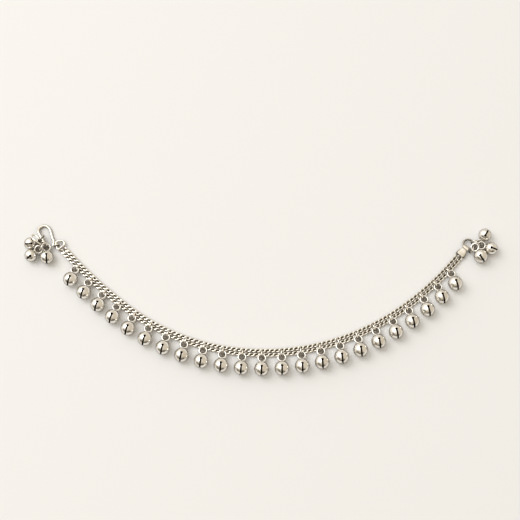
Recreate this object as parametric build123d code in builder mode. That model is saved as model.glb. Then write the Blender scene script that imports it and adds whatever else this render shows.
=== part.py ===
from build123d import *
import math
import os

os.makedirs("parts", exist_ok=True)

# A payal: a silver bell anklet, unhooked and laid on a flat surface with its bells outwards.
# Millimetres, +Z up.  z = 0 is the surface it lies on, and the origin is on that surface
# under the middle of the whole piece.  The ankle opening faces +Y.

# ---- the band: two rows of flat curb chain, side by side ----
BAND_START = (-101.75, 27.00)      # middle of the band at its hook end
BAND_HEADING = -48.1           # degrees from +X, the way the band sets off
BAND_ARCS = [                  # (length, radius) of each bend of the middle line, all to the left
    (47.5, 240.0),
    (48.0, 112.0),
    (48.0, 118.0),
    (48.0, 122.0),
    (45.5, 153.0),
]
ROW_WIDTH = 2.0
ROW_THICK = 1.15
ROW_CORNER = 0.45
ROW_OFFSET = 1.025             # middle of the band to the middle of each row
ROW_Z = 1.205                  # height of the rows' middle
EYE_RADIUS = 0.9               # last link of each row, round the end ring
EYE_WIRE = 0.3                 # wire radius

# ---- rings that carry the bells, one through the links at each bell ----
STRAND_RING_RADIUS = 1.6       # to the middle of the wire
STRAND_RING_WIRE = 0.275
STRAND_RING_OFFSET = 0.58
STRAND_RING_Z = 1.875
LINK_GAP = 0.1                 # room between a ring and the links it passes through
RING_GROUPS = [(1, 6), (7, 12), (13, 18), (19, 23)]

# ---- bells ----
BELL_COUNT = 23
BELL_FIRST = 14.1              # distance along the band of the first bell
BELL_PITCH = 9.6
BELL_DIAMETER = 7.2
BELL_WALL = 0.4
BELL_DIP = 10.5                # degrees the loop hangs below the bell's middle
LEAN_RATE = -0.26              # degrees of lean per mm along the band
LEAN_ZERO = 114.0              # where a bell stands straight out from the band
LOOP_RADIUS = 1.9
LOOP_WIRE = 0.35
SLOT_WIDTH = 0.65
SLOT_HOLE_DIAMETER = 1.2
SLOT_REACH = 94.0              # degrees from the bell's far pole to each slot hole

# End bells: (name, diameter, x, y, z, azimuth of the loop, dip of the loop, roll)
END_BELLS = [
    ("end_bell_a", 6.4, 114.40, 33.00, 3.20, -122.0, 19.3, -2.6),
    ("end_bell_b", 6.4, 117.13, 25.80, 3.20, 159.7, 5.6, -8.6),
    ("end_bell_c", 7.0, 111.53, 21.66, 3.50, 119.7, 0.8, -18.1),
    ("end_bell_d", 6.2, -116.62, 22.18, 3.10, 36.7, -9.5, 20.7),
    ("end_bell_e", 6.8, -108.41, 21.21, 3.40, 95.9, 8.8, 7.7),
    ("end_bell_f", 6.2, -117.23, 28.46, 3.10, 10.2, 19.6, 18.2),
]

# Their jump rings: (name, x, y, z, normal x, normal y, normal z, radius to the wire's middle)
END_RING_WIRE = 0.3
END_RINGS = [
    ("end_ring_a", 109.27, 29.55, 2.06, -0.095, 0.972, -0.215, 1.80),
    ("end_ring_b", 109.66, 27.83, 1.89, 0.413, 0.729, -0.546, 1.89),
    ("end_ring_c", 107.33, 25.67, 2.11, 0.919, -0.277, -0.283, 1.81),
    ("end_ring_d", -111.58, 26.42, 4.86, -0.755, 0.226, 0.616, 1.76),
    ("end_ring_e", -110.26, 27.78, 3.46, 0.327, 0.785, -0.526, 1.88),
    ("end_ring_f", -111.82, 31.34, 2.44, 0.838, -0.543, -0.058, 1.81),
]

# ---- hook end ----
LINK_RING_WIRE = 0.45
LINK_RING_Z = 1.45
LINK_RING_PATH = [             # (along the band, across to the inner side, corner radius)
    (0.0, -2.5, 0.7),
    (0.0, 2.2, 0.9),
    (1.9, 3.0, 1.3),
    (4.3, -0.2, 1.0),
]
HOOK_WIRE = 0.7
HOOK_EYE = (-104.25, 28.00, 1.55)              # middle of the foot's eye
HOOK_EYE_AXIS = (0.26, -0.965, 0.0)
HOOK_EYE_RADIUS = 1.1
HOOK_EYE_WIRE = 0.45
HOOK_PATH = [                  # (x, y, z) from the foot, over the bend, to the tip
    (-105.85, 27.80, 1.50),
    (-105.70, 30.20, 1.20),
    (-106.82, 32.27, 0.80),
    (-107.47, 34.47, 0.75),
    (-108.10, 36.56, 0.75),
    (-109.75, 38.39, 0.75),
    (-111.92, 38.60, 0.75),
    (-113.70, 37.45, 1.00),
    (-114.07, 35.21, 1.70),
    (-112.48, 32.48, 2.60),
    (-110.85, 30.05, 3.30),
    (-110.14, 28.08, 3.90),
]
TAIL_WIRE = 0.4
TAIL_PATH = [                  # thin return wire soldered to the tip
    (-110.14, 28.08, 3.90),
    (-110.35, 26.50, 4.60),
    (-112.17, 27.82, 5.90),
    (-114.71, 29.44, 6.30),
    (-116.29, 31.07, 5.60),
    (-115.97, 32.79, 4.80),
    (-114.39, 32.45, 4.50),
    (-112.76, 30.54, 4.90),
]

# ---- ring end ----
CAP_WIDTH = 4.65
CAP_HEIGHT = 1.75
CAP_NECK_WIDTH = 2.8
CAP_NECK_HEIGHT = 1.7
CAP_NECK_AT = 4.2
CAP_CORNER = 0.5
CAP_WALL = 0.2
CAP_STRAIGHT = 1.5
CAP_POCKET = 1.2
CAP_MOUTH_AT = 236.0           # distance along the band
BAIL_AT = 5.0                  # from the cap's mouth
BAIL_Z = 1.4
BAIL_RADIUS = 1.35
BAIL_BORE = 0.9
BAIL_LENGTH = 3.0
CATCH_RADIUS = 2.75
CATCH_WIRE = 0.475
CATCH_AT = 2.46                # from the bail's axis


def along(distance, offset=0.0):
    """x, y and heading at a distance along the band, moved sideways by an offset,
    which is positive towards the bells."""
    x, y = BAND_START
    heading = math.radians(BAND_HEADING)
    for length, radius in BAND_ARCS:
        step = min(distance, length)
        turned = heading + step / radius
        x += radius * (math.sin(turned) - math.sin(heading))
        y -= radius * (math.cos(turned) - math.cos(heading))
        heading = turned
        distance -= step
        if distance <= 1e-9:
            break
    return x + offset * math.sin(heading), y - offset * math.cos(heading), heading


def band_point(distance, offset, z):
    x, y, heading = along(distance, offset)
    return (x, y, z)


def across_plane(distance, offset, z):
    """Plane square to the band: its x runs across to the bells' side, its z along the band."""
    x, y, heading = along(distance, offset)
    return Plane(
        origin=(x, y, z),
        x_dir=(math.sin(heading), -math.cos(heading), 0),
        z_dir=(math.cos(heading), math.sin(heading), 0),
    )


def bell_plane(x, y, z, azimuth, dip, roll):
    """Plane at a bell's middle: its x points to the loop, and the slot lies in its x-z plane."""
    azimuth = math.radians(azimuth)
    dip = math.radians(dip)
    axis = Vector(math.cos(azimuth) * math.cos(dip), math.sin(azimuth) * math.cos(dip), -math.sin(dip))
    side = axis.cross(Vector(0, 0, 1)).normalized()
    up = side.cross(axis)
    turn = math.radians(roll)
    return Plane(origin=(x, y, z), x_dir=axis, z_dir=up * math.cos(turn) + side * math.sin(turn))


def wire_radii(points, report):
    """Largest arc that each corner of a wire's route allows, printed for checking."""
    radii = []
    for a, b, c in zip(points, points[1:], points[2:]):
        first = Vector(*b) - Vector(*a)
        second = Vector(*c) - Vector(*b)
        turn = math.radians(first.get_angle(second))
        radii.append(0.45 * min(first.length, second.length) / math.tan(turn / 2))
    print(report, "radii", [round(r, 2) for r in radii])
    return radii


def make_bell(diameter):
    """Hollow round bell with a slot that ends in two round holes, and a soldered loop.
    Its middle is the origin, its loop is on +X and its slot lies in the X-Z plane.
    The spheres are turned so that their seams fall in the slot and are cut away."""
    radius = diameter / 2
    slot_end = -radius * math.cos(math.radians(SLOT_REACH))
    with BuildPart() as bell:
        Sphere(radius, rotation=(0, 0, 180))
        Sphere(radius - BELL_WALL, rotation=(0, 0, 180), mode=Mode.SUBTRACT)
        with Locations(((slot_end - radius - 1) / 2, 0, 0)):
            Box(slot_end + radius + 1, SLOT_WIDTH, diameter + 2, mode=Mode.SUBTRACT)
        for tilt in (SLOT_REACH - 90, 270 - SLOT_REACH):
            with Locations(Location((0, 0, 0), (0, tilt, 0))):
                Cylinder(
                    SLOT_HOLE_DIAMETER / 2,
                    radius + 1,
                    align=(Align.CENTER, Align.CENTER, Align.MIN),
                    mode=Mode.SUBTRACT,
                )
        with Locations((radius + LOOP_RADIUS, 0, 0)):
            Torus(LOOP_RADIUS, LOOP_WIRE)
    return bell.part


def place_bell(name, shape, plane):
    with BuildPart() as bell:
        with Locations(plane):
            add(shape)
    bell.part.label = name
    export_step(bell.part, "parts/" + name + ".step")


def bell_at(number):
    """Distance along the band of a bell, numbered from the hook end."""
    return BELL_FIRST + BELL_PITCH * (number - 1)


def make_row(name, offset):
    """One row of chain as a flat bar, its last link an eye, holed where the bells' rings pass."""
    marks = [EYE_RADIUS - 0.05]
    total = 0.0
    for length, radius in BAND_ARCS:
        total += length
        marks.append(total)
    with BuildPart() as row:
        with BuildLine() as line:
            for a, b in zip(marks, marks[1:]):
                ThreePointArc(
                    band_point(a, offset, ROW_Z),
                    band_point((a + b) / 2, offset, ROW_Z),
                    band_point(b, offset, ROW_Z),
                )
        with BuildSketch(across_plane(marks[0], offset, ROW_Z)):
            RectangleRounded(ROW_WIDTH, ROW_THICK, ROW_CORNER)
        sweep(path=line.wires()[0])
        eye = across_plane(0.0, offset, LINK_RING_Z)
        with Locations(Plane(origin=eye.origin, x_dir=eye.z_dir, z_dir=eye.x_dir)):
            Torus(EYE_RADIUS, EYE_WIRE)
        for number in range(1, BELL_COUNT + 1):
            with Locations(across_plane(bell_at(number), STRAND_RING_OFFSET, STRAND_RING_Z)):
                Torus(STRAND_RING_RADIUS, STRAND_RING_WIRE + LINK_GAP, mode=Mode.SUBTRACT)
    row.part.label = name
    export_step(row.part, "parts/" + name + ".step")
    print(name, "volume", round(row.part.volume, 1), "length", round(line.wires()[0].length, 1))


make_row("chain_inner_row", -ROW_OFFSET)
make_row("chain_outer_row", ROW_OFFSET)

for group, (first, last) in enumerate(RING_GROUPS, start=1):
    name = "bell_rings_" + str(group)
    with BuildPart() as strand_rings:
        for number in range(first, last + 1):
            with Locations(across_plane(bell_at(number), STRAND_RING_OFFSET, STRAND_RING_Z)):
                Torus(STRAND_RING_RADIUS, STRAND_RING_WIRE)
    strand_rings.part.label = name
    export_step(strand_rings.part, "parts/" + name + ".step")

band_bell = make_bell(BELL_DIAMETER)
for number in range(1, BELL_COUNT + 1):
    distance = bell_at(number)
    dip = math.radians(BELL_DIP)
    radius = BELL_DIAMETER / 2
    reach = (radius + LOOP_RADIUS) * math.cos(dip)
    loop_x, loop_y, heading = along(distance, STRAND_RING_OFFSET + STRAND_RING_RADIUS + 0.64)
    hang = heading - math.pi / 2 + math.radians(LEAN_RATE * (distance - LEAN_ZERO))
    bell_x = loop_x + reach * math.cos(hang)
    bell_y = loop_y + reach * math.sin(hang)
    plane = bell_plane(bell_x, bell_y, radius, math.degrees(hang) + 180, BELL_DIP, 0)
    place_bell("bell_" + str(number).zfill(2), band_bell, plane)

for name, diameter, x, y, z, azimuth, dip, roll in END_BELLS:
    place_bell(name, make_bell(diameter), bell_plane(x, y, z, azimuth, dip, roll))

for name, x, y, z, normal_x, normal_y, normal_z, radius in END_RINGS:
    with BuildPart(Plane(origin=(x, y, z), z_dir=(normal_x, normal_y, normal_z))) as jump_ring:
        Torus(radius, END_RING_WIRE)
    jump_ring.part.label = name
    export_step(jump_ring.part, "parts/" + name + ".step")

# Link ring: a rounded three-cornered ring that gathers the two rows' last links.
start_x, start_y, start_heading = along(0.0)
back = Vector(-math.cos(start_heading), -math.sin(start_heading), 0)
inward = Vector(-math.sin(start_heading), math.cos(start_heading), 0)
ring_points = []
for out, sideways, corner in LINK_RING_PATH:
    ring_points.append(Vector(start_x, start_y, LINK_RING_Z) + back * out + inward * sideways)
ring_corners = [corner for out, sideways, corner in LINK_RING_PATH]
with BuildPart() as link_ring:
    with BuildLine() as ring_line:
        FilletPolyline(*ring_points, radius=ring_corners, close=True)
    with BuildSketch(Plane(origin=ring_line.wires()[0] @ 0, z_dir=ring_line.wires()[0] % 0)):
        Circle(LINK_RING_WIRE)
    sweep(path=ring_line.wires()[0])
link_ring.part.label = "link_ring"
export_step(link_ring.part, "parts/link_ring.step")
ring_length = ring_line.wires()[0].length
print("link_ring volume", round(link_ring.part.volume, 2), "expected",
      round(math.pi * LINK_RING_WIRE ** 2 * ring_length, 2))

# Hook: a pear-shaped bend of round wire, an eye at its foot and a thin wire looped off its tip.
with BuildPart() as hook:
    with BuildLine() as hook_line:
        FilletPolyline(*HOOK_PATH, radius=wire_radii(HOOK_PATH, "hook"))
    with BuildSketch(Plane(origin=hook_line.wires()[0] @ 0, z_dir=hook_line.wires()[0] % 0)):
        Circle(HOOK_WIRE)
    sweep(path=hook_line.wires()[0])
    hook_volume = hook.part.volume
    with BuildLine() as tail_line:
        FilletPolyline(*TAIL_PATH, radius=wire_radii(TAIL_PATH, "tail"))
    with BuildSketch(Plane(origin=tail_line.wires()[0] @ 0, z_dir=tail_line.wires()[0] % 0)):
        Circle(TAIL_WIRE)
    sweep(path=tail_line.wires()[0])
    with Locations(HOOK_PATH[0], HOOK_PATH[-1]):
        Sphere(HOOK_WIRE)
    with Locations(TAIL_PATH[-1]):
        Sphere(TAIL_WIRE)
    with Locations(Plane(origin=HOOK_EYE, z_dir=HOOK_EYE_AXIS)):
        Torus(HOOK_EYE_RADIUS, HOOK_EYE_WIRE)
hook.part.label = "hook"
export_step(hook.part, "parts/hook.step")
print("hook wire volume", round(hook_volume, 1), "expected",
      round(math.pi * HOOK_WIRE ** 2 * hook_line.wires()[0].length, 1),
      "whole hook", round(hook.part.volume, 1))

# End cap: a flattened ferrule over the two rows' ends, with a tube across it for the catch ring.
mouth_x, mouth_y, mouth_heading = along(CAP_MOUTH_AT)
out_x = math.cos(mouth_heading)
out_y = math.sin(mouth_heading)
cap_plane = Plane(origin=(mouth_x, mouth_y, ROW_Z), x_dir=(-out_y, out_x, 0), z_dir=(out_x, out_y, 0))
with BuildPart() as end_cap:
    with BuildSketch(cap_plane):
        RectangleRounded(CAP_WIDTH, CAP_HEIGHT, CAP_CORNER)
    extrude(amount=CAP_STRAIGHT)
    with BuildSketch(cap_plane.offset(CAP_STRAIGHT)):
        RectangleRounded(CAP_WIDTH, CAP_HEIGHT, CAP_CORNER)
    with BuildSketch(cap_plane.offset(CAP_NECK_AT)):
        with Locations((0, BAIL_Z - ROW_Z)):
            RectangleRounded(CAP_NECK_WIDTH, CAP_NECK_HEIGHT, CAP_CORNER)
    loft()
    bail_x = mouth_x + out_x * BAIL_AT
    bail_y = mouth_y + out_y * BAIL_AT
    with Locations(Plane(origin=(bail_x, bail_y, BAIL_Z), z_dir=(-out_y, out_x, 0))):
        Cylinder(BAIL_RADIUS, BAIL_LENGTH)
        Cylinder(BAIL_BORE, BAIL_LENGTH + 1, mode=Mode.SUBTRACT)
    with BuildSketch(cap_plane):
        RectangleRounded(CAP_WIDTH - 2 * CAP_WALL, CAP_HEIGHT - 2 * CAP_WALL, CAP_CORNER - CAP_WALL)
    extrude(amount=CAP_POCKET, mode=Mode.SUBTRACT)
end_cap.part.label = "end_cap"
export_step(end_cap.part, "parts/end_cap.step")

# Catch ring: the round ring that the hook closes on, loose in the end cap's tube.
catch_x = bail_x + out_x * CATCH_AT
catch_y = bail_y + out_y * CATCH_AT
with BuildPart(Plane(origin=(catch_x, catch_y, BAIL_Z), z_dir=(0, 0, 1))) as catch_ring:
    Torus(CATCH_RADIUS, CATCH_WIRE)
catch_ring.part.label = "catch_ring"
export_step(catch_ring.part, "parts/catch_ring.step")
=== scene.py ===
import math

import bpy
import numpy as np
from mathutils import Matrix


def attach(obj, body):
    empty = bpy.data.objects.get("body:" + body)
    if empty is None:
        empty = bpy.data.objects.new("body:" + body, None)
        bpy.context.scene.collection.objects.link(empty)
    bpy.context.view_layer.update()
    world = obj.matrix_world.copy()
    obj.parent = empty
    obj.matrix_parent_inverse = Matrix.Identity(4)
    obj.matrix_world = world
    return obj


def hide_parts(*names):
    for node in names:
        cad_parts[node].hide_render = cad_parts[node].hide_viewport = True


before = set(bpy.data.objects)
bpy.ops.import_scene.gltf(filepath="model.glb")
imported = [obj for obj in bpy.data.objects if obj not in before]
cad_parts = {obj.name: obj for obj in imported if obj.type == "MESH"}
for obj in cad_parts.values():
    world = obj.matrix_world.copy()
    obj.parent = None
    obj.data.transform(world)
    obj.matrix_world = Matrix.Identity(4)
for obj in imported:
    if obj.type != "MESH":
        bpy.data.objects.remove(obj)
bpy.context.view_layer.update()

MM = 0.001

# ---------------------------------------------------------------- the band's lay
# The band lies in five gentle bends, all to the left.  These are the CAD's own figures.
BAND_START = (-101.75 * MM, 27.00 * MM)
BAND_HEADING = math.radians(-48.1)
BAND_ARCS = [                     # (length, radius)
    (47.5 * MM, 240.0 * MM),
    (48.0 * MM, 112.0 * MM),
    (48.0 * MM, 118.0 * MM),
    (48.0 * MM, 122.0 * MM),
    (45.5 * MM, 153.0 * MM),
]
ROW_OFFSET = 1.025 * MM
ROW_HEIGHT = 1.205 * MM

# ---------------------------------------------------------------- curb links
LINK_PITCH = 2.4 * MM
LINK_HALF_LENGTH = 1.42 * MM      # to the middle of the wire
LINK_HALF_WIDTH = 0.64 * MM
LINK_SLANTS = [                   # (distance, slant): one end of a link leans in, the other out
    (0.0 * MM, 0.22 * MM),
    (120.0 * MM, 0.20 * MM),
    (180.0 * MM, 0.06 * MM),
    (237.0 * MM, -0.18 * MM),
]
LINK_TWIST = 0.275 * MM           # how far the sides rise and fall
LINK_WIRE = 0.345 * MM
LINK_FLAT = 0.46 * MM             # the polished faces of the row, above and below its middle
LINK_AROUND, LINK_SIDES = 16, 6   # points round a link, and round its wire
FIRST_LINK = 2.6 * MM             # the link beside the row's eye is drawn up close
LINKS_FROM = 4.5 * MM
LINK_COUNT = 97
ROW_SHIFT = 0.3 * MM              # the two rows' links do not stand side by side
ROW_CREASE = 0.30 * MM            # how far the painted shade in the crease between the rows reaches

# the upright oval at the start of each row
EYE_AT = 0.22 * MM
EYE_HALF_LENGTH = 1.14 * MM
EYE_HALF_HEIGHT = 0.86 * MM
EYE_WIRE = 0.3 * MM
EYE_AROUND, EYE_SIDES = 28, 8
# painted shade on the eye's inner side
EYE_SHADE = 0.6

# a dark ribbon under each row's links: painted shade
CORE_WIDTH = 0.86 * MM
CORE_HEIGHT = 0.84 * MM
CORE_SQUASH = 0.3                 # its thickness over its width
CORE_STATIONS = 260
CORE_SHADE = 0.60

# ---------------------------------------------------------------- bells and their rings
BELL_COUNT = 23
BELL_FIRST = 14.1 * MM
BELL_PITCH = 9.6 * MM
BELL_RADIUS = 3.6 * MM
BELL_WALL = 0.4 * MM
BELL_DIP = math.radians(10.5)
LEAN_RATE = math.radians(-0.26) / MM
LEAN_ZERO = 114.0 * MM

LOOP_OFFSET = 2.82 * MM
LOOP_RADIUS = 1.9 * MM
LOOP_WIRE = 0.35 * MM
LOOP_THICKER = 0.08 * MM          # the wire is drawn this much stouter, towards its hole
LOOP_AROUND, LOOP_SIDES = 36, 12
# painted shade on the loop's inner side, darkening its hole
LOOP_SHADE = 0.55

# a dark web that fills most of a loop's hole: painted shade
WEB_SIZE = np.array([1.25, 1.42, 0.10]) * MM      # half sizes
WEB_AT = -0.30 * MM               # its middle, from the loop's middle
WEB_SHADE = 0.575

SLOT_HALF = 0.325 * MM            # half width
SLOT_HOLE = 0.6 * MM              # radius of the hole at each end
SLOT_REACH = math.radians(94.0)   # from the slot's middle to each hole
SLOT_LIP_SHADE = 0.55             # painted shade just outside the slot's edge
SLOT_WEB_FROM = 78.0              # the slot's dark bottom, a sheet of painted shade, in degrees from the loop
SLOT_WEB_ENDS = {"band": 126.0, "hanging": 172.0}
SLOT_WEB_HOLE = (86.0, 9.0)       # where it widens for the hole, and how far either side
SLOT_WEB_LAP = 0.1 * MM           # how far it runs into the wall, each side
SLOT_WEB_DEPTHS = (0.25 * MM, 0.32 * MM)          # its two layers, below the bell's surface

STRAND_RING = (0.58 * MM, 1.875 * MM, 1.56 * MM, 0.315 * MM)   # offset, height, radius, wire
STRAND_RING_AROUND, STRAND_RING_SIDES = 28, 8
STRAND_RING_SHADE = 0.85
STRAND_RING_BRIGHT = 1.9 * MM     # above this height the ring is left bright
STRAND_RING_FADE = 0.8 * MM       # below it the painted shade grows over this height
RING_GROUPS = [(1, 6), (7, 12), (13, 18), (19, 23)]

# (name, diameter, x, y, z, azimuth of the loop, dip of the loop, roll, how dark the painted shade
# inside is) in mm and degrees
END_BELLS = [
    ("end_bell_a", 6.4, 114.40, 33.00, 3.20, -122.0, 19.3, -2.6, 0.74),
    ("end_bell_b", 6.4, 117.13, 25.80, 3.20, 159.7, 5.6, -8.6, 1.0),
    ("end_bell_c", 7.0, 111.53, 21.66, 3.50, 119.7, 0.8, -18.1, 1.0),
    ("end_bell_d", 6.2, -116.62, 22.18, 3.10, 36.7, -9.5, 20.7, 1.0),
    ("end_bell_e", 6.8, -108.41, 21.21, 3.40, 95.9, 8.8, 7.7, 0.80),
    ("end_bell_f", 6.2, -117.23, 28.46, 3.10, 10.2, 19.6, 18.2, 0.56),
]
# (name, x, y, z, normal x, normal y, normal z, radius) in mm
END_RINGS = [
    ("end_ring_a", 109.27, 29.55, 2.06, -0.095, 0.972, -0.215, 1.80),
    ("end_ring_b", 109.66, 27.83, 1.89, 0.413, 0.729, -0.546, 1.89),
    ("end_ring_c", 107.33, 25.67, 2.11, 0.919, -0.277, -0.283, 1.81),
    ("end_ring_d", -111.58, 26.42, 4.86, -0.755, 0.226, 0.616, 1.76),
    ("end_ring_e", -110.26, 27.78, 3.46, 0.327, 0.785, -0.526, 1.88),
    ("end_ring_f", -111.82, 31.34, 2.44, 0.838, -0.543, -0.058, 1.81),
]
END_RING_WIRE = 0.3 * MM
END_RING_AROUND, END_RING_SIDES = 36, 10
# painted shade on the rings' inner side, and on their sides and underneath
END_RING_SHADE = 0.4
END_RING_FLANKS = 0.6

# ---------------------------------------------------------------- hook end
LINK_RING_HEIGHT = 1.45 * MM
LINK_RING_WIRE = 0.45 * MM
# painted shade on the ring's sides and underneath
LINK_RING_FLANKS = 0.75
LINK_RING_CORNERS = [             # (along, across, corner radius) in mm
    (0.0, -2.5, 0.7),
    (0.0, 2.2, 0.9),
    (1.9, 3.0, 1.3),
    (4.3, -0.2, 1.0),
]
HOOK_WIRE = 0.7 * MM
HOOK_EYE = (-104.25, 28.00, 1.55)
HOOK_EYE_AXIS = (0.26, -0.965, 0.0)
HOOK_EYE_RADIUS = 1.1 * MM
HOOK_EYE_WIRE = 0.45 * MM
# painted shade on the hook's sides and underneath
HOOK_FLANKS = 0.75
HOOK_ROUTE = [                    # (x, y, z) in mm
    (-105.85, 27.80, 1.50),
    (-105.70, 30.20, 1.20),
    (-106.82, 32.27, 0.80),
    (-107.47, 34.47, 0.75),
    (-108.10, 36.56, 0.75),
    (-109.75, 38.39, 0.75),
    (-111.92, 38.60, 0.75),
    (-113.70, 37.45, 1.00),
    (-114.07, 35.21, 1.70),
    (-112.48, 32.48, 2.60),
    (-110.85, 30.05, 3.30),
    (-110.14, 28.08, 3.90),
]
TAIL_WIRE = 0.4 * MM
TAIL_ROUTE = [
    (-110.14, 28.08, 3.90),
    (-110.35, 26.50, 4.60),
    (-112.17, 27.82, 5.90),
    (-114.71, 29.44, 6.30),
    (-116.29, 31.07, 5.60),
    (-115.97, 32.79, 4.80),
    (-114.39, 32.45, 4.50),
    (-112.76, 30.54, 4.90),
]

# ---------------------------------------------------------------- ring end
CAP_MOUTH_AT = 236.0 * MM
CAP_WIDTH = 4.65 * MM
CAP_HEIGHT = 1.75 * MM
CAP_WALL = 0.2 * MM
CAP_STRAIGHT = 1.5 * MM
CAP_POCKET = 1.2 * MM
CAP_NECK = (2.8 * MM, 1.7 * MM, 4.2 * MM)      # width, height, distance from the mouth
CAP_NECK_LAP = 0.3 * MM           # how far the neck runs on, through the bail into its bore
CAP_LIP = 0.06 * MM               # how far the mouth's edge is rounded
CAP_CORNERS = (5.0, 3.0)          # power of the outline at the mouth and at the neck
# painted shade along the cap's edges and round its mouth
CAP_FLANK_SHADE = 0.55
CAP_FLANK_FROM = 0.62             # of the half width
CAP_FLANK_FADE = 0.7 * MM
CAP_FLANK_STOP = 0.9 * MM         # short of the neck's end
CAP_LIP_SHADE = 0.3
CAP_LIP_FADE = 0.5 * MM
BAIL_AT = 5.0 * MM
BAIL_HEIGHT = 1.4 * MM
BAIL_RADIUS = 1.35 * MM
BAIL_BORE = 0.9 * MM
BAIL_LENGTH = 3.0 * MM
BAIL_EASE = 0.12 * MM
BAIL_AROUND = 36
CATCH_RADIUS = 2.75 * MM
CATCH_WIRE = 0.475 * MM
CATCH_AT = 2.46 * MM
CATCH_AROUND, CATCH_SIDES = 56, 14
CATCH_TONE_AND_SHADE = (0.42, 0.45)        # darker all over, and painted shade more towards its middle
# painted shade on the catch's sides and underneath
CATCH_FLANKS = 0.85


# ================================================================ laying things along the band
def band_starts():
    """Where each bend starts: distance, x, y and heading, with the radius it keeps."""
    rows = []
    distance, x, y, heading = 0.0, BAND_START[0], BAND_START[1], BAND_HEADING
    for length, radius in BAND_ARCS:
        rows.append((distance, x, y, heading, radius))
        next_heading = heading + length / radius
        x += radius * (math.sin(next_heading) - math.sin(heading))
        y -= radius * (math.cos(next_heading) - math.cos(heading))
        distance += length
        heading = next_heading
    return np.array(rows)


BENDS = band_starts()


def along(distance, offset):
    """Points on the band, and the band's heading there.  Within a bend the heading grows by
    distance over radius, and the point runs round the bend's centre.  A positive offset
    moves the point square to the heading, towards the bells."""
    which = np.searchsorted(BENDS[:, 0], distance, side="right") - 1
    start, x, y, heading, radius = BENDS[np.clip(which, 0, len(BENDS) - 1)].T
    there = heading + (distance - start) / radius
    px = x + radius * (np.sin(there) - np.sin(heading)) + offset * np.sin(there)
    py = y - radius * (np.cos(there) - np.cos(heading)) - offset * np.cos(there)
    return px, py, there


def along_one(distance, offset=0.0):
    """The same for a single distance, as plain numbers."""
    px, py, heading = along(np.array([distance]), offset)
    return float(px[0]), float(py[0]), float(heading[0])


# ================================================================ surfaces
def grid_quads(rows, columns, close_rows=False):
    """Quads of a grid of rows x columns points, numbered row by row.  Each row is joined round,
    and the last row to the first where asked."""
    here = np.arange(rows if close_rows else rows - 1)[:, None]
    column = np.arange(columns)[None, :]
    below = (here + 1) % rows
    right = (column + 1) % columns
    here, below = here * columns, below * columns
    return np.stack([here + column, here + right, below + right, below + column], -1).reshape(-1, 4)


def fan(ring, middle, start=False):
    """Triangles from a ring of points to a middle point, as quads with that point twice.  At
    the start of a surface they turn the other way."""
    following = np.roll(ring, -1)
    tip = np.full(len(ring), middle)
    return np.stack([following, ring, tip, tip] if start else [ring, following, tip, tip], -1)


def outward(points, faces):
    """Turn all faces over if the closed surface's signed volume is negative."""
    a, b, c, d = (points[faces[:, corner]] for corner in range(4))
    volume = (a * (np.cross(b, c) + np.cross(c, d))).sum()
    return faces if volume > 0 else faces[:, ::-1]


def unit(vectors):
    """Vectors made one long."""
    return vectors / np.linalg.norm(vectors, axis=-1, keepdims=True)


def tube(route, wire, sides, closed=False):
    """A round wire along a route of points.  At each point a circle of the wire's radius
    stands square to the route: point + wire * (cos(a) * side + sin(a) * rise).  A closed
    route joins its last circle to its first; an open one ends in flat discs."""
    route = np.asarray(route, float)
    if closed:
        tangent = unit(np.roll(route, -1, 0) - np.roll(route, 1, 0))
    else:
        tangent = unit(np.gradient(route, axis=0))
    side = unit(np.cross(tangent, [0.0, 0.0, 1.0]))
    rise = np.cross(side, tangent)
    angle = np.linspace(0, 2 * np.pi, sides, endpoint=False)[None, :, None]
    circle = np.cos(angle) * side[:, None] + np.sin(angle) * rise[:, None]
    points = (route[:, None] + wire * circle).reshape(-1, 3)
    faces = grid_quads(len(route), sides, close_rows=closed)
    if closed:
        return points, outward(points, faces)
    first, count = np.arange(sides), len(points)
    points = np.vstack([points, route[0], route[-1]])
    faces = np.vstack([faces, fan(first, count, start=True),
                       fan(first + (len(route) - 1) * sides, count + 1)])
    return points, outward(points, faces)


def hoop(middle, normal, radius, wire, around, sides):
    """A torus: a circle of the given radius square to its normal, carried as a round wire."""
    normal = unit(np.asarray(normal, float))
    helper = [0.0, 0.0, 1.0] if abs(normal[2]) < 0.9 else [1.0, 0.0, 0.0]
    across = unit(np.cross(normal, helper))
    up = np.cross(normal, across)
    a = np.linspace(0, 2 * np.pi, around, endpoint=False)[:, None, None]
    b = np.linspace(0, 2 * np.pi, sides, endpoint=False)[None, :, None]
    spoke = np.cos(a) * across + np.sin(a) * up
    points = np.asarray(middle, float) + spoke * (radius + wire * np.cos(b))
    points = (points + normal * wire * np.sin(b)).reshape(-1, 3)
    return points, outward(points, grid_quads(around, sides, close_rows=True))


def ring_grime(most, around, sides):
    """How dark each point of a hoop is painted, painted shade in its hole: most on the side that
    faces its middle, none outside, as most * e * e * (3 - 2e), where e rises with -cos(b) and b
    goes round the wire."""
    b = np.linspace(0, 2 * np.pi, sides, endpoint=False)
    e = np.clip((-np.cos(b) - 0.1) / 0.6, 0, 1)
    return np.tile(most * e * e * (3 - 2 * e), around)


def ball(middle, radius, rings=12, sides=20):
    """A sphere on a grid of latitude and longitude, its poles joined by fans."""
    lat = np.linspace(-np.pi / 2, np.pi / 2, rings + 2)[1:-1, None]
    lon = np.linspace(0, 2 * np.pi, sides, endpoint=False)[None, :]
    x, y = np.cos(lat) * np.cos(lon), np.cos(lat) * np.sin(lon)
    shape = np.stack([x, y, np.sin(lat) + 0 * lon], -1).reshape(-1, 3)
    points = np.vstack([shape, [[0, 0, -1], [0, 0, 1]]]) * radius + np.asarray(middle)
    first, count = np.arange(sides), rings * sides
    faces = np.vstack([grid_quads(rings, sides), fan(first, count, start=True),
                       fan(first + (rings - 1) * sides, count + 1)])
    return points, outward(points, faces)


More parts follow.
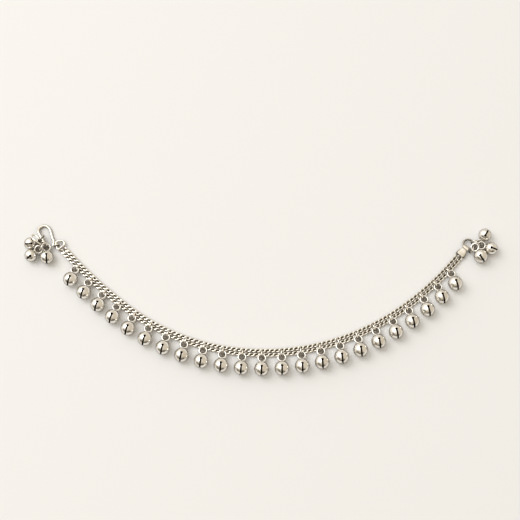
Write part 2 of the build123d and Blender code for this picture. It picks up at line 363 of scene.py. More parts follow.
def rounded_route(corners, cuts, closed=False):
    """A route through corners, each rounded by a parabola that starts and ends its cut
    distance before and after the corner: (1-t)^2 * start + 2t(1-t) * corner + t^2 * end."""
    corners = np.asarray(corners, float)
    if closed:
        before, here, after = np.roll(corners, 1, 0), corners, np.roll(corners, -1, 0)
    else:
        before, here, after = corners[:-2], corners[1:-1], corners[2:]
    start = here + unit(before - here) * np.asarray(cuts)[:, None]
    end = here + unit(after - here) * np.asarray(cuts)[:, None]
    t = np.linspace(0, 1, 8)[None, :, None]
    bends = (1 - t) ** 2 * start[:, None] + 2 * t * (1 - t) * here[:, None]
    bends = (bends + t ** 2 * end[:, None]).reshape(-1, 3)
    return bends if closed else np.vstack([corners[:1], bends, corners[-1:]])


def easy_cuts(corners):
    """Cut distances of 0.45 of the shorter run beside each corner, the largest smooth bend."""
    runs = np.linalg.norm(np.diff(np.asarray(corners), axis=0), axis=1)
    return 0.45 * np.minimum(runs[:-1], runs[1:])


def radius_cuts(corners, radii):
    """Cut distances that give each corner of a closed route its radius:
    radius * tan(turn / 2)."""
    corners = np.asarray(corners, float)
    into = unit(corners - np.roll(corners, 1, 0))
    out = unit(np.roll(corners, -1, 0) - corners)
    turn = np.arccos(np.clip((into * out).sum(1), -1, 1))
    return np.asarray(radii) * np.tan(turn / 2)


def bell_shell(radius, web_end):
    """A hollow ball with a slot, its loop on +X and its slot in the X-Z plane.  Each half is
    a grid in longitude a round the Y axis and latitude b above the slot plane:
    (cos(b) cos(a), sin(b), cos(b) sin(a)) * radius.  Each meridian runs from the half's pole
    down to the slot's edge, which is the slot's half width, or the round hole at either end of
    it, or nothing where the halves meet.  The wall's inner side is the same grid made smaller,
    and a rim joins the two along the slot.  How dark each point is painted comes with the shell:
    painted shade over the whole inside, on the slot's lips and on the slot's dark bottom."""
    hole_at = math.pi - SLOT_REACH
    hole = math.asin(SLOT_HOLE / radius)
    slot = math.asin(SLOT_HALF / radius)
    hole_steps = hole * np.array([-1.0, -0.93, -0.75, -0.5, -0.25, 0.0, 0.25, 0.5, 0.75, 0.84])
    half = np.concatenate([np.linspace(0, hole_at - hole, 12, endpoint=False),
                           hole_at + hole_steps,
                           np.linspace(hole_at + hole, math.pi, 12, endpoint=False)])
    lon = np.concatenate([half, [math.pi], -half[:0:-1]])
    away = np.minimum(np.abs(np.abs(lon) - hole_at), hole)
    edge = np.arccos(np.minimum(1.0, math.cos(hole) / np.cos(away)))
    edge = np.where(np.abs(lon) > hole_at, np.maximum(edge, slot), edge)
    edge = np.where(edge < 1e-4, 0.0, edge)
    columns, rings = len(lon), 13
    t = np.concatenate([[0.0, 0.016, 0.034], np.linspace(0.09, 1.0, rings - 2)[:-1]])[:, None]
    lat = edge[None, :] * (1 - t) + (math.pi / 2) * t        # first ring nearest the slot
    half_grid = np.stack([np.cos(lat) * np.cos(lon), np.sin(lat), np.cos(lat) * np.sin(lon)], -1)
    upper = np.vstack([half_grid.reshape(-1, 3), [[0, 1, 0]]])
    lower = upper * [1, -1, 1]
    count = len(upper)
    last = np.arange(columns) + (rings - 1) * columns
    half_faces = np.vstack([grid_quads(rings, columns), fan(last, rings * columns)])
    # the lower half takes the upper half's points where the halves meet
    closed = edge == 0.0
    shared = np.arange(columns)[closed]
    lower_index = np.arange(count) + count
    lower_index[shared] = shared
    outer = np.vstack([half_faces, lower_index[half_faces[:, ::-1]]])
    points_out = np.vstack([upper, lower]) * radius
    points_in = np.vstack([upper, lower]) * (radius - BELL_WALL)
    # make outer faces point away from the middle
    a, b, c = (points_out[outer[:, corner]] for corner in range(3))
    if (np.cross(b - a, c - a) * a).sum() < 0:
        outer = outer[:, ::-1]
    inside = 2 * count            # the inner side's points follow the outer side's
    inner = outer[:, ::-1] + inside
    near = np.arange(columns)
    far = np.roll(near, -1)
    opened = ~(closed & closed[far])
    near, far = near[opened], far[opened]
    low_near, low_far = lower_index[near], lower_index[far]
    rim_up = np.stack([near, far, far + inside, near + inside], -1)
    rim_low = np.stack([low_far, low_near, low_near + inside, low_far + inside], -1)
    points = np.vstack([points_out, points_in])
    # painted shade over the whole inner side of the wall
    dark = np.concatenate([np.zeros(inside), np.ones(inside)])
    # painted shade on the slot's lips, less on the ring beside them
    lips = np.arange(columns)[~closed]
    dark[lips] = dark[lips + count] = 1.0
    dark[lips + columns] = dark[lips + columns + count] = SLOT_LIP_SHADE
    # turn the slot's walls to face the slot's middle
    a, b, c, d = (points[rim_up[:, corner]] for corner in range(4))
    if (np.cross(b - a, d - a)[:, 1] * np.sign((a + b + c + d)[:, 1])).sum() > 0:
        rim_up, rim_low = rim_up[:, ::-1], rim_low[:, ::-1]
    web, web_faces = slot_web(radius, web_end)
    faces = np.vstack([outer, inner, rim_up, rim_low, web_faces + len(points)])
    return np.vstack([points, web]), faces, np.concatenate([dark, np.ones(len(web))])


def slot_web(radius, web_end):
    """The dark bottom of the slot on the bell's underside, a sheet of painted shade: a strip of
    two close layers between the wall's faces: (cos(b) cos(a), sin(b), cos(b) sin(a)) times each
    layer's radius, with a running along the slot and b across it, joined at its edges."""
    a = -np.radians(np.linspace(SLOT_WEB_FROM, web_end, 13))[:, None]
    hole_at, hole_reach = SLOT_WEB_HOLE
    at_hole = np.abs(np.degrees(a) + hole_at) < hole_reach
    reach = np.where(at_hole, SLOT_HOLE, SLOT_HALF) + SLOT_WEB_LAP
    layers = []
    for depth, spread in zip(SLOT_WEB_DEPTHS, ((-1.0, 0.0, 1.0), (1.0, 0.0, -1.0))):
        b = np.array(spread)[None, :] * reach / radius
        layer = np.stack([np.cos(b) * np.cos(a), np.sin(b), np.cos(b) * np.sin(a)], -1)
        layers.append(layer * (radius - depth))
    strip = np.concatenate(layers, 1)
    count = strip.shape[1]
    ends = np.array([[0, 5, 4, 1], [1, 4, 3, 2]])
    last = (len(strip) - 1) * count
    faces = np.vstack([grid_quads(len(strip), count), ends, ends[:, ::-1] + last])
    points = strip.reshape(-1, 3)
    return points, outward(points, faces)


def join(*shells):
    """Put several (points, faces) shells into one."""
    points, faces, count = [], [], 0
    for shell_points, shell_faces in shells:
        points.append(shell_points)
        faces.append(shell_faces + count)
        count += len(shell_points)
    return np.vstack(points), np.vstack(faces)


def turned(shell, middle, forward, up):
    """Turn a shell so that its +X points forward and its +Z points up, and move it to middle."""
    points, faces = shell
    forward, up = np.asarray(forward, float), np.asarray(up, float)
    sideways = np.cross(up, forward)
    axes = np.stack([forward, sideways, up])
    return points @ axes + np.asarray(middle, float), faces


def bell_axes(azimuth, dip, roll):
    """Directions of a bell's loop and of the slot plane's upper side."""
    forward = np.array([math.cos(azimuth) * math.cos(dip), math.sin(azimuth) * math.cos(dip),
                        -math.sin(dip)])
    side = unit(np.cross(forward, [0, 0, 1.0]))
    up = np.cross(side, forward)
    return forward, up * math.cos(roll) + side * math.sin(roll)


def curb_row(offset):
    """A row of curb links.  Each link is a slanted oval with its sides twisted up and down,
    distance = half length * cos(t), offset = -half width * sin(t) - slant * cos(t) and
    height = -twist * sin(2t), carried as a round wire whose top and bottom are rubbed flat.
    The slant eases off towards the ring end.  All links are laid along the band at once."""
    t = np.linspace(0, 2 * np.pi, LINK_AROUND, endpoint=False) + math.pi / LINK_AROUND
    starts = np.concatenate([[FIRST_LINK], LINKS_FROM + LINK_PITCH * np.arange(LINK_COUNT)])
    starts = starts - math.copysign(ROW_SHIFT, offset)
    slant = np.interp(starts, *zip(*LINK_SLANTS))[:, None]
    across = -LINK_HALF_WIDTH * np.sin(t)[None] - slant * np.cos(t)[None]
    length = np.broadcast_to(LINK_HALF_LENGTH * np.cos(t), across.shape)
    twist = np.broadcast_to(-LINK_TWIST * np.sin(2 * t), across.shape)
    centre = np.stack([length, across, twist], -1)
    slope = unit(np.roll(centre, -1, 1) - np.roll(centre, 1, 1))
    side = unit(np.cross(slope, [0, 0, 1.0]))
    rise = np.cross(side, slope)
    angle = np.linspace(0, 2 * np.pi, LINK_SIDES, endpoint=False) + math.pi / LINK_SIDES
    angle = angle[:, None]
    spoke = np.cos(angle) * side[:, :, None] + np.sin(angle) * rise[:, :, None]
    links = centre[:, :, None] + LINK_WIRE * spoke
    # painted shade, with some tarnish: darker on the hole's side of the wire, underneath, where a
    # link dips below the next, and in the crease between the two rows
    to_hole = -(spoke * unit(centre * [0.25, 1.0, 0.0])[:, :, None]).sum(-1)
    in_hole = np.clip(0.9 * to_hole + 0.05, 0, 1)
    beneath = np.clip(-0.8 * spoke[..., 2] - 0.2, 0, 1)
    dip = 0.3 * np.clip(-twist / LINK_TWIST, 0, 1)[:, :, None]
    sideways = (offset + links[..., 1]).ravel()
    crease = 0.9 * np.clip(1.0 - np.abs(sideways) / ROW_CREASE, 0, 1)
    shade_and_tarnish = np.clip(np.clip((in_hole + beneath + dip).ravel(), 0, 1) + crease, 0, 1)
    px, py, _ = along((starts[:, None, None] + links[..., 0]).ravel(), sideways)
    height = ROW_HEIGHT + np.clip(links[..., 2], -LINK_FLAT, LINK_FLAT).ravel()
    points = np.stack([px, py, height], -1)
    # every link has the first one's faces
    size = LINK_AROUND * LINK_SIDES
    link_faces = outward(points[:size], grid_quads(LINK_AROUND, LINK_SIDES, close_rows=True))
    faces = (link_faces[None] + size * np.arange(len(starts))[:, None, None]).reshape(-1, 4)
    return points, faces, shade_and_tarnish


def row_eye(offset):
    """The row's end link by the hook, an upright oval round the link ring's bar."""
    t = np.linspace(0, 2 * np.pi, EYE_AROUND, endpoint=False)
    height = LINK_RING_HEIGHT + EYE_HALF_HEIGHT * np.sin(t)
    px, py, heading = along(EYE_AT + EYE_HALF_LENGTH * np.cos(t), offset)
    route = np.stack([px, py, height], -1)
    across = np.stack([np.sin(heading), -np.cos(heading), 0 * heading], -1)
    tangent = unit(np.roll(route, -1, 0) - np.roll(route, 1, 0))
    rise = np.cross(across, tangent)
    angle = np.linspace(0, 2 * np.pi, EYE_SIDES, endpoint=False)[None, :, None]
    circle = np.cos(angle) * across[:, None] + np.sin(angle) * rise[:, None]
    points = (route[:, None] + EYE_WIRE * circle).reshape(-1, 3)
    return points, outward(points, grid_quads(EYE_AROUND, EYE_SIDES, close_rows=True))


def row_core(offset):
    """A dark ribbon along the bottom of a row's links, painted shade under them: a round rod
    pressed to a ribbon.
    """
    reach = LINK_PITCH * (LINK_COUNT - 1)
    distance = np.linspace(LINKS_FROM, LINKS_FROM + reach, CORE_STATIONS)
    x, y, _ = along(distance, offset)
    points, faces = tube(np.stack([x, y, 0 * x], -1), CORE_WIDTH / 2, 6)
    points[:, 2] = CORE_HEIGHT + CORE_SQUASH * points[:, 2]
    return points, faces


def strand_ring(number):
    """The upright ring that carries one bell, square to the band."""
    offset, height, radius, wire = STRAND_RING
    x, y, heading = along_one(BELL_FIRST + BELL_PITCH * (number - 1), offset)
    normal = (math.cos(heading), math.sin(heading), 0)
    return hoop((x, y, height), normal, radius, wire, STRAND_RING_AROUND, STRAND_RING_SIDES)


def rounded_box(width, height, power=CAP_CORNERS[0]):
    """Outline of a rounded rectangle as a superellipse: |x|^p + |y|^p = 1, as (x, y) pairs."""
    t = np.linspace(0, 2 * np.pi, 40, endpoint=False)
    x = np.sign(np.cos(t)) * np.abs(np.cos(t)) ** (2 / power) * width / 2
    y = np.sign(np.sin(t)) * np.abs(np.sin(t)) ** (2 / power) * height / 2
    return np.stack([x, y], -1)


def end_cap_shell():
    """The end cap, as rounded boxes carried from the bottom of its pocket, out over the lip
    and on to its neck, in a frame whose x runs out along the band, y across and z up."""
    inside = rounded_box(CAP_WIDTH - 2 * CAP_WALL, CAP_HEIGHT - 2 * CAP_WALL)
    mouth = rounded_box(CAP_WIDTH, CAP_HEIGHT)
    wall = mouth - inside
    stations = [                  # (x, outline, rise)
        (CAP_POCKET, inside * 0.02, 0.0),
        (CAP_POCKET, inside * 0.97, 0.0),
        (CAP_POCKET - 0.05 * MM, inside, 0.0),
        (CAP_LIP, inside, 0.0),
        (0.0, inside + wall * 0.35, 0.0),
        (0.0, inside + wall * 0.65, 0.0),
        (CAP_LIP, mouth, 0.0),
        (CAP_STRAIGHT * 0.5, mouth, 0.0),
    ]
    width, height, neck_at = CAP_NECK
    taper_from, taper_to = CAP_STRAIGHT * 0.8, neck_at + CAP_NECK_LAP
    whole_rise = BAIL_HEIGHT - ROW_HEIGHT
    for part in np.linspace(0, 1, 9):
        ease = part * part * (3 - 2 * part)
        outline = rounded_box(CAP_WIDTH + (width - CAP_WIDTH) * ease,
                              CAP_HEIGHT + (height - CAP_HEIGHT) * ease,
                              CAP_CORNERS[0] + (CAP_CORNERS[1] - CAP_CORNERS[0]) * ease)
        stations.append((taper_from + (taper_to - taper_from) * part, outline, whole_rise * ease))
    stations.append((taper_to, rounded_box(width, height, CAP_CORNERS[1]) * 0.02, whole_rise))
    rings = [np.column_stack([np.full(len(outline), x), outline[:, 0], outline[:, 1] + rise])
             for x, outline, rise in stations]
    points = np.vstack([*rings, rings[0].mean(0), rings[-1].mean(0)])
    sides, count = len(mouth), len(points) - 2
    first = np.arange(sides)
    faces = np.vstack([grid_quads(len(rings), sides), fan(first, count, start=True),
                       fan(first + (len(rings) - 1) * sides, count + 1)])
    return points, outward(points, faces)


def bail_shell():
    """The tube across the cap's end: a rectangle with eased corners spun round the Y axis."""
    half, shoulder = BAIL_LENGTH / 2, BAIL_LENGTH / 2 - BAIL_EASE
    narrow, wide = BAIL_BORE + BAIL_EASE, BAIL_RADIUS - BAIL_EASE
    profile = [(BAIL_BORE, -shoulder), (narrow, -half), (wide, -half), (BAIL_RADIUS, -shoulder),
               (BAIL_RADIUS, shoulder), (wide, half), (narrow, half), (BAIL_BORE, shoulder)]
    radius, across = np.array(profile).T[:, None, :]
    a = np.linspace(0, 2 * np.pi, BAIL_AROUND, endpoint=False)[:, None]
    points = np.stack([np.cos(a) * radius, 0 * a + across, np.sin(a) * radius], -1).reshape(-1, 3)
    return points, outward(points, grid_quads(BAIL_AROUND, len(profile), close_rows=True))


# ================================================================ materials
def group_sockets(group, inputs, outputs):
    """Give a node group its inputs, with their values, and its outputs."""
    for name, kind, value in inputs:
        socket = group.interface.new_socket(name=name, in_out="INPUT", socket_type=kind)
        socket.default_value = value
    for name, kind in outputs:
        group.interface.new_socket(name=name, in_out="OUTPUT", socket_type=kind)


def hand_polish_group():
    """Uneven polish on worked silver: a soft cloudiness that dulls and warms the metal in
    places, fine rubbing marks, and a low swell of the surface."""
    group = bpy.data.node_groups.new("Hand polish", "ShaderNodeTree")
    group_sockets(group,
                  [("Bright", "NodeSocketColor", (0.9, 0.9, 0.9, 1)),
                   ("Dull", "NodeSocketColor", (0.6, 0.6, 0.6, 1)),
                   ("Cloud scale", "NodeSocketFloat", 300.0),
                   ("Smooth", "NodeSocketFloat", 0.1),
                   ("Rough", "NodeSocketFloat", 0.3)],
                  [("Colour", "NodeSocketColor"),
                   ("Roughness", "NodeSocketFloat"),
                   ("Height", "NodeSocketFloat")])
    nodes, links = group.nodes, group.links
    source = nodes.new("NodeGroupInput")
    result = nodes.new("NodeGroupOutput")
    place = nodes.new("ShaderNodeTexCoord")
    cloud = nodes.new("ShaderNodeTexNoise")
    cloud.inputs["Detail"].default_value = 3.0
    marks = nodes.new("ShaderNodeTexNoise")
    marks.inputs["Scale"].default_value = 2600.0
    marks.inputs["Detail"].default_value = 2.0
    spread = nodes.new("ShaderNodeMapRange")
    spread.inputs["From Min"].default_value = 0.42
    spread.inputs["From Max"].default_value = 0.72
    tint = nodes.new("ShaderNodeMix")
    tint.data_type = "RGBA"
    shine = nodes.new("ShaderNodeMapRange")
    height = nodes.new("ShaderNodeMath")
    height.operation = "MULTIPLY_ADD"
    height.inputs[1].default_value = 0.12
    links.new(place.outputs["Object"], cloud.inputs["Vector"])
    links.new(place.outputs["Object"], marks.inputs["Vector"])
    links.new(source.outputs["Cloud scale"], cloud.inputs["Scale"])
    links.new(cloud.outputs["Fac"], spread.inputs["Value"])
    links.new(spread.outputs["Result"], tint.inputs["Factor"])
    links.new(source.outputs["Bright"], tint.inputs["A"])
    links.new(source.outputs["Dull"], tint.inputs["B"])
    links.new(spread.outputs["Result"], shine.inputs["Value"])
    links.new(source.outputs["Smooth"], shine.inputs["To Min"])
    links.new(source.outputs["Rough"], shine.inputs["To Max"])
    links.new(marks.outputs["Fac"], height.inputs[0])
    links.new(cloud.outputs["Fac"], height.inputs[2])
    links.new(tint.outputs["Result"], result.inputs["Colour"])
    links.new(shine.outputs["Result"], result.inputs["Roughness"])
    links.new(height.outputs["Value"], result.inputs["Height"])
    return group


def tarnish_group():
    """Painted shade, with some tarnish: the piece's own darkness per point, which is worked out
    with its shape, broken up at its border by fine noise, darkens and dulls the metal."""
    group = bpy.data.node_groups.new("Painted shade and tarnish", "ShaderNodeTree")
    group_sockets(group,
                  [("Metal", "NodeSocketColor", (0.9, 0.9, 0.9, 1)),
                   ("Shade and tarnish", "NodeSocketColor", (0.1, 0.1, 0.1, 1)),
                   ("Polish", "NodeSocketFloat", 0.2),
                   ("Matt", "NodeSocketFloat", 0.6)],
                  [("Colour", "NodeSocketColor"),
                   ("Roughness", "NodeSocketFloat")])
    nodes, links = group.nodes, group.links
    source = nodes.new("NodeGroupInput")
    result = nodes.new("NodeGroupOutput")
    place = nodes.new("ShaderNodeTexCoord")
    shade_and_tarnish = nodes.new("ShaderNodeAttribute")
    shade_and_tarnish.attribute_name = "shade_and_tarnish"
    patch = nodes.new("ShaderNodeTexNoise")
    patch.inputs["Scale"].default_value = 1500.0
    sway = nodes.new("ShaderNodeMath")
    sway.operation = "MULTIPLY_ADD"
    sway.inputs[1].default_value = 0.36
    mask = nodes.new("ShaderNodeMapRange")
    mask.interpolation_type = "SMOOTHSTEP"
    mask.inputs["From Min"].default_value = 0.30
    mask.inputs["From Max"].default_value = 0.88
    mix = nodes.new("ShaderNodeMix")
    mix.data_type = "RGBA"
    dullness = nodes.new("ShaderNodeMix")
    dullness.data_type = "FLOAT"
    links.new(place.outputs["Object"], patch.inputs["Vector"])
    links.new(patch.outputs["Fac"], sway.inputs[0])
    links.new(shade_and_tarnish.outputs["Fac"], sway.inputs[2])
    links.new(sway.outputs["Value"], mask.inputs["Value"])
    links.new(mask.outputs["Result"], mix.inputs["Factor"])
    links.new(source.outputs["Metal"], mix.inputs["A"])
    links.new(source.outputs["Shade and tarnish"], mix.inputs["B"])
    links.new(mask.outputs["Result"], dullness.inputs["Factor"])
    links.new(source.outputs["Polish"], dullness.inputs["A"])
    links.new(source.outputs["Matt"], dullness.inputs["B"])
    links.new(mix.outputs["Result"], result.inputs["Colour"])
    links.new(dullness.outputs["Result"], result.inputs["Roughness"])
    return group


HAND_POLISH = hand_polish_group()
SHADE_AND_TARNISH = tarnish_group()


def silver(name, bright, dull, shade_and_tarnish_colour, edge, cloud, smooth, rough, bump):
    """Solid silver: a metal whose colour and polish come from the hand polish group and then
    the group that darkens it with painted shade and some tarnish.  The specular tint is the colour
    it turns to where it is seen edge on; a dark one paints shade there as a dark outline."""
    material = bpy.data.materials.new(name)
    material.use_nodes = True
    nodes, links = material.node_tree.nodes, material.node_tree.links
    shader = nodes["Principled BSDF"]
    shader.inputs["Metallic"].default_value = 1.0
    shader.inputs["Specular Tint"].default_value = (*edge, 1)
    polish = nodes.new("ShaderNodeGroup")
    polish.node_tree = HAND_POLISH
    polish.inputs["Bright"].default_value = (*bright, 1)
    polish.inputs["Dull"].default_value = (*dull, 1)
    polish.inputs["Cloud scale"].default_value = cloud
    polish.inputs["Smooth"].default_value = smooth
    polish.inputs["Rough"].default_value = rough
    hollows = nodes.new("ShaderNodeGroup")
    hollows.node_tree = SHADE_AND_TARNISH
    hollows.inputs["Shade and tarnish"].default_value = (*shade_and_tarnish_colour, 1)
    swell = nodes.new("ShaderNodeBump")
    swell.inputs["Strength"].default_value = bump
    swell.inputs["Distance"].default_value = 0.1 * MM
    links.new(polish.outputs["Height"], swell.inputs["Height"])
    links.new(polish.outputs["Colour"], hollows.inputs["Metal"])
    links.new(polish.outputs["Roughness"], hollows.inputs["Polish"])
    links.new(swell.outputs["Normal"], shader.inputs["Normal"])
    links.new(hollows.outputs["Colour"], shader.inputs["Base Color"])
    links.new(hollows.outputs["Roughness"], shader.inputs["Roughness"])
    return material


# EDGE_GREY and CHAIN_EDGE are dark specular tints: painted shade, a dark outline where the metal is
# seen edge on
EDGE_GREY = (0.13, 0.105, 0.07)
CHAIN_EDGE = (0.42, 0.37, 0.29)
# name, bright, dull, colour of the painted shade and tarnish, edge, then cloud scale, smooth, rough
# and bump
BELL_SILVER = silver("Bell silver", (0.925, 0.90, 0.855), (0.81, 0.775, 0.715),
                     (0.045, 0.031, 0.016), EDGE_GREY, 260.0, 0.20, 0.30, 0.08)
WIRE_SILVER = silver("Wire silver", (0.95, 0.91, 0.84), (0.75, 0.69, 0.595),
                     (0.085, 0.065, 0.038), EDGE_GREY, 420.0, 0.18, 0.32, 0.12)
CAP_SILVER = silver("Cap silver", (0.90, 0.855, 0.78), (0.70, 0.65, 0.56),
                    (0.10, 0.083, 0.058), EDGE_GREY, 380.0, 0.24, 0.38, 0.12)
CHAIN_SILVER = silver("Chain silver", (0.95, 0.905, 0.83), (0.86, 0.80, 0.70),
                      (0.075, 0.056, 0.03), CHAIN_EDGE, 500.0, 0.20, 0.34, 0.12)


# ================================================================ pieces
SHARP_ANGLE = math.radians(40.0)
FLANK_FROM = 0.62                 # how far up a point faces where the painted shade on its sides starts
FLANK_BLEND = 0.45


def add_piece(name, shell, material, node, shade_and_tarnish=0.0, flanks=0.0):
    """Make a shell a smooth-shaded piece with creases, riding on the body in its node's place.
    Its darkness per point is painted shade, with some tarnish.  Flanks is how dark the painted
    shade is on the sides and underneath, which leaves the tops bright."""
    points, faces = shell
    mesh = bpy.data.meshes.new(name)
    # a quad with a point twice is a triangle
    corners = [row if len(set(row)) == 4 else list(dict.fromkeys(row)) for row in faces.tolist()]
    mesh.from_pydata(points.tolist(), [], corners)
    mesh.polygons.foreach_set("use_smooth", np.ones(len(mesh.polygons), bool))
    mesh.set_sharp_from_angle(angle=SHARP_ANGLE)
    mesh.materials.append(material)
    facing = np.empty(3 * len(points), np.float32)
    mesh.vertex_normals.foreach_get("vector", facing)
    on_flank = np.clip((FLANK_FROM - facing[2::3]) / FLANK_BLEND, 0, 1)
    shade_and_tarnish = np.maximum(shade_and_tarnish, flanks * on_flank).astype(np.float32)
    mesh.attributes.new("shade_and_tarnish", "FLOAT", "POINT").data.foreach_set("value", shade_and_tarnish)
    mesh.update()
    piece = bpy.data.objects.new(name, mesh)
    bpy.context.scene.collection.objects.link(piece)
    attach(piece, "root")
    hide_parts(node)


def add_row(name, offset, node):
    """A row of links with the eye at its hook end and the dark ribbon of painted shade beneath."""
    points, faces, shade_and_tarnish = curb_row(offset)
    core = row_core(offset)
    shade_and_tarnish = np.concatenate([shade_and_tarnish, ring_grime(EYE_SHADE, EYE_AROUND, EYE_SIDES),
                            np.full(len(core[0]), CORE_SHADE)])
    add_piece(name, join((points, faces), row_eye(offset), core), CHAIN_SILVER,
              node, shade_and_tarnish)


add_row("inner_row_of_links", -ROW_OFFSET, "chain_inner_row")
add_row("outer_row_of_links", ROW_OFFSET, "chain_outer_row")


for group_number, (first, last) in enumerate(RING_GROUPS, start=1):
    rings = join(*[strand_ring(number) for number in range(first, last + 1)])
    # painted shade on the rings' lower part, down in the loops' holes
    low = np.clip((STRAND_RING_BRIGHT - rings[0][:, 2]) / STRAND_RING_FADE, 0, 1)
    add_piece("strand_rings_" + str(group_number), rings, WIRE_SILVER,
              "bell_rings_" + str(group_number), STRAND_RING_SHADE * low)


def add_bell(name, radius, middle, azimuth, dip, roll, node, web_end, inside=1.0):
    """A bell's shell with its soldered loop, turned and put in its place, with painted shade
    over its inside, as dark as asked."""
    points, faces, dark = bell_shell(radius, web_end)
    loop_at = radius + LOOP_RADIUS
    loop = hoop((loop_at, 0, 0), (0, 0, 1), LOOP_RADIUS - LOOP_THICKER, LOOP_WIRE + LOOP_THICKER,
                LOOP_AROUND, LOOP_SIDES)
    # the web, a dark sheet of painted shade, is a ball pressed flat, nearer the loop's foot; the
    # next ring's wire cuts its tip
    web, web_faces = ball((0, 0, 0), 1.0, 8)
    web = web * WEB_SIZE + [loop_at + WEB_AT, 0, 0]
    whole = join((points, faces), loop, (web, web_faces))
    shade_and_tarnish = np.concatenate([inside * dark, ring_grime(LOOP_SHADE, LOOP_AROUND, LOOP_SIDES),
                            np.full(len(web), WEB_SHADE)])
    add_piece(name, turned(whole, middle, *bell_axes(azimuth, dip, roll)), BELL_SILVER,
              node, shade_and_tarnish)


for number in range(1, BELL_COUNT + 1):
    distance = BELL_FIRST + BELL_PITCH * (number - 1)
    loop_x, loop_y, heading = along_one(distance, LOOP_OFFSET)
    hang = heading - math.pi / 2 + LEAN_RATE * (distance - LEAN_ZERO)
    reach = (BELL_RADIUS + LOOP_RADIUS) * math.cos(BELL_DIP)
    middle = (loop_x + reach * math.cos(hang), loop_y + reach * math.sin(hang), BELL_RADIUS)
    label = str(number).zfill(2)
    add_bell("band_bell_" + label, BELL_RADIUS, middle, hang + math.pi, BELL_DIP, 0.0,
             "bell_" + label, SLOT_WEB_ENDS["band"])

for name, diameter, x, y, z, azimuth, dip, roll, inside in END_BELLS:
    add_bell("hanging_bell_" + name[-1], diameter * MM / 2, (x * MM, y * MM, z * MM),
             math.radians(azimuth), math.radians(dip), math.radians(roll), name,
             SLOT_WEB_ENDS["hanging"], inside)

for name, x, y, z, normal_x, normal_y, normal_z, radius in END_RINGS:
    ring = hoop((x * MM, y * MM, z * MM), (normal_x, normal_y, normal_z), radius * MM,
                END_RING_WIRE, END_RING_AROUND, END_RING_SIDES)
    add_piece("jump_ring_" + name[-1], ring, WIRE_SILVER, name,
              ring_grime(END_RING_SHADE, END_RING_AROUND, END_RING_SIDES), END_RING_FLANKS)

# Link ring
start_x, start_y, start_heading = along_one(0.0)
start = np.array([start_x, start_y, LINK_RING_HEIGHT])
back = np.array([-math.cos(start_heading), -math.sin(start_heading), 0.0])
inward = np.array([-math.sin(start_heading), math.cos(start_heading), 0.0])
corners = [start + back * behind * MM + inward * aside * MM
           for behind, aside, _ in LINK_RING_CORNERS]
cuts = radius_cuts(corners, [radius * MM for _, _, radius in LINK_RING_CORNERS])
link_ring = tube(rounded_route(corners, cuts, closed=True), LINK_RING_WIRE, 12, closed=True)
add_piece("three_sided_ring", link_ring, WIRE_SILVER, "link_ring",
          flanks=LINK_RING_FLANKS)

# Hook
hook_route = np.array(HOOK_ROUTE) * MM
tail_route = np.array(TAIL_ROUTE) * MM
hook = join(
    tube(rounded_route(hook_route, easy_cuts(hook_route)), HOOK_WIRE, 16),
    tube(rounded_route(tail_route, easy_cuts(tail_route)), TAIL_WIRE, 12),
    ball(hook_route[0], HOOK_WIRE), ball(hook_route[-1], HOOK_WIRE),
    ball(tail_route[-1], TAIL_WIRE),
    hoop(np.array(HOOK_EYE) * MM, HOOK_EYE_AXIS, HOOK_EYE_RADIUS, HOOK_EYE_WIRE, 36, 12))
add_piece("s_hook", hook, WIRE_SILVER, "hook", flanks=HOOK_FLANKS)

# End cap and catch ring
mouth_x, mouth_y, mouth_heading = along_one(CAP_MOUTH_AT)
mouth = np.array([mouth_x, mouth_y, 0.0])
ahead = np.array([math.cos(mouth_heading), math.sin(mouth_heading), 0.0])
leftward = np.array([-ahead[1], ahead[0], 0.0])
bail_middle = mouth + [0, 0, BAIL_HEIGHT] + ahead * BAIL_AT
cap = join(turned(end_cap_shell(), mouth + [0, 0, ROW_HEIGHT], ahead, (0, 0, 1)),
           turned(bail_shell(), bail_middle, ahead, (0, 0, 1)))
# painted shade along the cap's two edges, as far as the neck, and round its mouth
neck_width, _, neck_at = CAP_NECK
from_mouth = (cap[0] - mouth) @ ahead
from_middle = np.abs((cap[0] - mouth) @ leftward)
half_width = np.interp(from_mouth, [CAP_STRAIGHT, neck_at], [CAP_WIDTH / 2, neck_width / 2])
flank = np.clip((from_middle - CAP_FLANK_FROM * half_width) / CAP_FLANK_FADE, 0, 1)
flank = flank * (from_mouth < neck_at - CAP_FLANK_STOP)
lip = np.clip(1 - from_mouth / CAP_LIP_FADE, 0, 1)
add_piece("cap_and_bail", cap, CAP_SILVER, "end_cap",
          CAP_FLANK_SHADE * flank + CAP_LIP_SHADE * lip)
catch = hoop(bail_middle + ahead * CATCH_AT, (0, 0, 1), CATCH_RADIUS, CATCH_WIRE,
             CATCH_AROUND, CATCH_SIDES)
add_piece("round_catch", catch, WIRE_SILVER, "catch_ring",
          CATCH_TONE_AND_SHADE[0] + ring_grime(CATCH_TONE_AND_SHADE[1], CATCH_AROUND, CATCH_SIDES), CATCH_FLANKS)


# ================================================================ floor, light and camera
FLOOR_SIDE = 8.0
FLOOR_COLOUR = (0.78, 0.788, 0.803)
LAMP_PLACE = (-0.95, 0.55, 1.3)
LAMP_SIDE = 1.0
LAMP_WATTS = 11.5
LAMP_COLOUR = (1.0, 0.985, 0.96)
ROOM_COLOUR = (0.70, 0.625, 0.51)
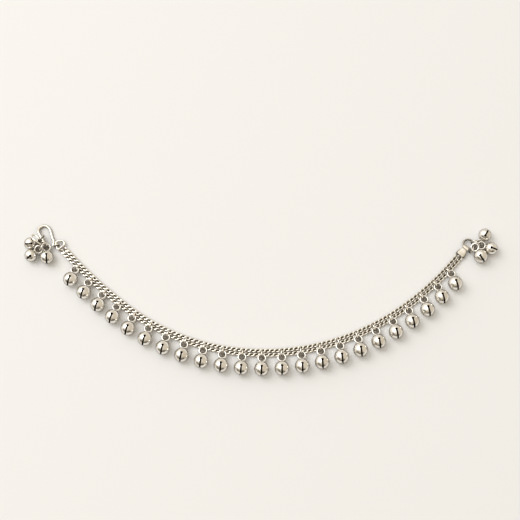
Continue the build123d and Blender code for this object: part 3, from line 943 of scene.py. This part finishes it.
# (middle, dot product at the rim, dot product where it is full, colour) of each part of the room
ROOM_LOBES = [
    ((-0.56, 0.32, 0.77), 0.45, 0.93, (1.38, 1.35, 1.28)),     # window
    ((0.25, -0.95, 0.05), 0.72, 0.93, (0.10, 0.085, 0.06)),    # dim side
    ((-0.74, -0.64, 0.18), 0.76, 0.96, (0.17, 0.145, 0.105)),  # dim corner
]
CAMERA_TILT = math.radians(15.0)
CAMERA_DISTANCE = 0.4845
CAMERA_AIM = (-0.00035, 0.0206)
CAMERA_LENS = 65.77
SENSOR_WIDTH = 36.0


def floor_piece():
    """A flat pale sheet, big enough to fill every view."""
    mesh = bpy.data.meshes.new("floor")
    half = FLOOR_SIDE / 2
    corners = [(-half, -half, 0), (half, -half, 0), (half, half, 0), (-half, half, 0)]
    mesh.from_pydata(corners, [], [(0, 1, 2, 3)])
    material = bpy.data.materials.new("Pale floor")
    material.use_nodes = True
    shader = material.node_tree.nodes["Principled BSDF"]
    shader.inputs["Base Color"].default_value = (*FLOOR_COLOUR, 1)
    shader.inputs["Roughness"].default_value = 0.9
    shader.inputs["Specular IOR Level"].default_value = 0.1
    mesh.materials.append(material)
    piece = bpy.data.objects.new("floor", mesh)
    bpy.context.scene.collection.objects.link(piece)


def softbox():
    """A square area lamp, turned to face the origin."""
    lamp = bpy.data.lights.new("key softbox", "AREA")
    lamp.shape = "RECTANGLE"
    lamp.size = lamp.size_y = LAMP_SIDE
    lamp.energy = LAMP_WATTS
    lamp.color = LAMP_COLOUR
    holder = bpy.data.objects.new("key softbox", lamp)
    holder.location = LAMP_PLACE
    x, y, z = LAMP_PLACE
    holder.rotation_euler = (math.atan2(math.hypot(x, y), z), 0.0,
                             math.atan2(-y, -x) - math.pi / 2)
    bpy.context.scene.collection.objects.link(holder)


def studio_world():
    """A plain room with one large soft window up on the left and two dim parts near the camera.
    Each is a lobe: how close a direction lies to the lobe's middle, as a dot product, eased
    from the lobe's rim to where it is full."""
    world = bpy.data.worlds.new("Studio")
    world.use_nodes = True
    nodes, links = world.node_tree.nodes, world.node_tree.links
    background = nodes["Background"]
    background.inputs["Strength"].default_value = 1.0
    direction = nodes.new("ShaderNodeTexCoord")

    colour = None
    for middle, rim, full, lobe_colour in ROOM_LOBES:
        near = nodes.new("ShaderNodeVectorMath")
        near.operation = "DOT_PRODUCT"
        near.inputs[1].default_value = unit(np.array(middle)).tolist()
        ease = nodes.new("ShaderNodeMapRange")
        ease.interpolation_type = "SMOOTHSTEP"
        ease.inputs["From Min"].default_value = rim
        ease.inputs["From Max"].default_value = full
        mix = nodes.new("ShaderNodeMix")
        mix.data_type = "RGBA"
        mix.inputs["A"].default_value = (*ROOM_COLOUR, 1)
        mix.inputs["B"].default_value = (*lobe_colour, 1)
        links.new(direction.outputs["Generated"], near.inputs[0])
        links.new(near.outputs["Value"], ease.inputs["Value"])
        links.new(ease.outputs["Result"], mix.inputs["Factor"])
        if colour is not None:
            links.new(colour, mix.inputs["A"])
        colour = mix.outputs["Result"]
    links.new(colour, background.inputs["Color"])
    return world


floor_piece()
softbox()
bpy.context.scene.world = studio_world()

camera = bpy.data.cameras.new("Camera")
camera.sensor_width = SENSOR_WIDTH
camera.lens = CAMERA_LENS
camera.clip_start = 0.01
camera_object = bpy.data.objects.new("Camera", camera)
camera_object.location = (CAMERA_AIM[0],
                          CAMERA_AIM[1] - CAMERA_DISTANCE * math.sin(CAMERA_TILT),
                          CAMERA_DISTANCE * math.cos(CAMERA_TILT))
camera_object.rotation_euler = (CAMERA_TILT, 0, 0)
bpy.context.scene.collection.objects.link(camera_object)
bpy.context.scene.camera = camera_object
bpy.context.scene.view_settings.view_transform = "Standard"
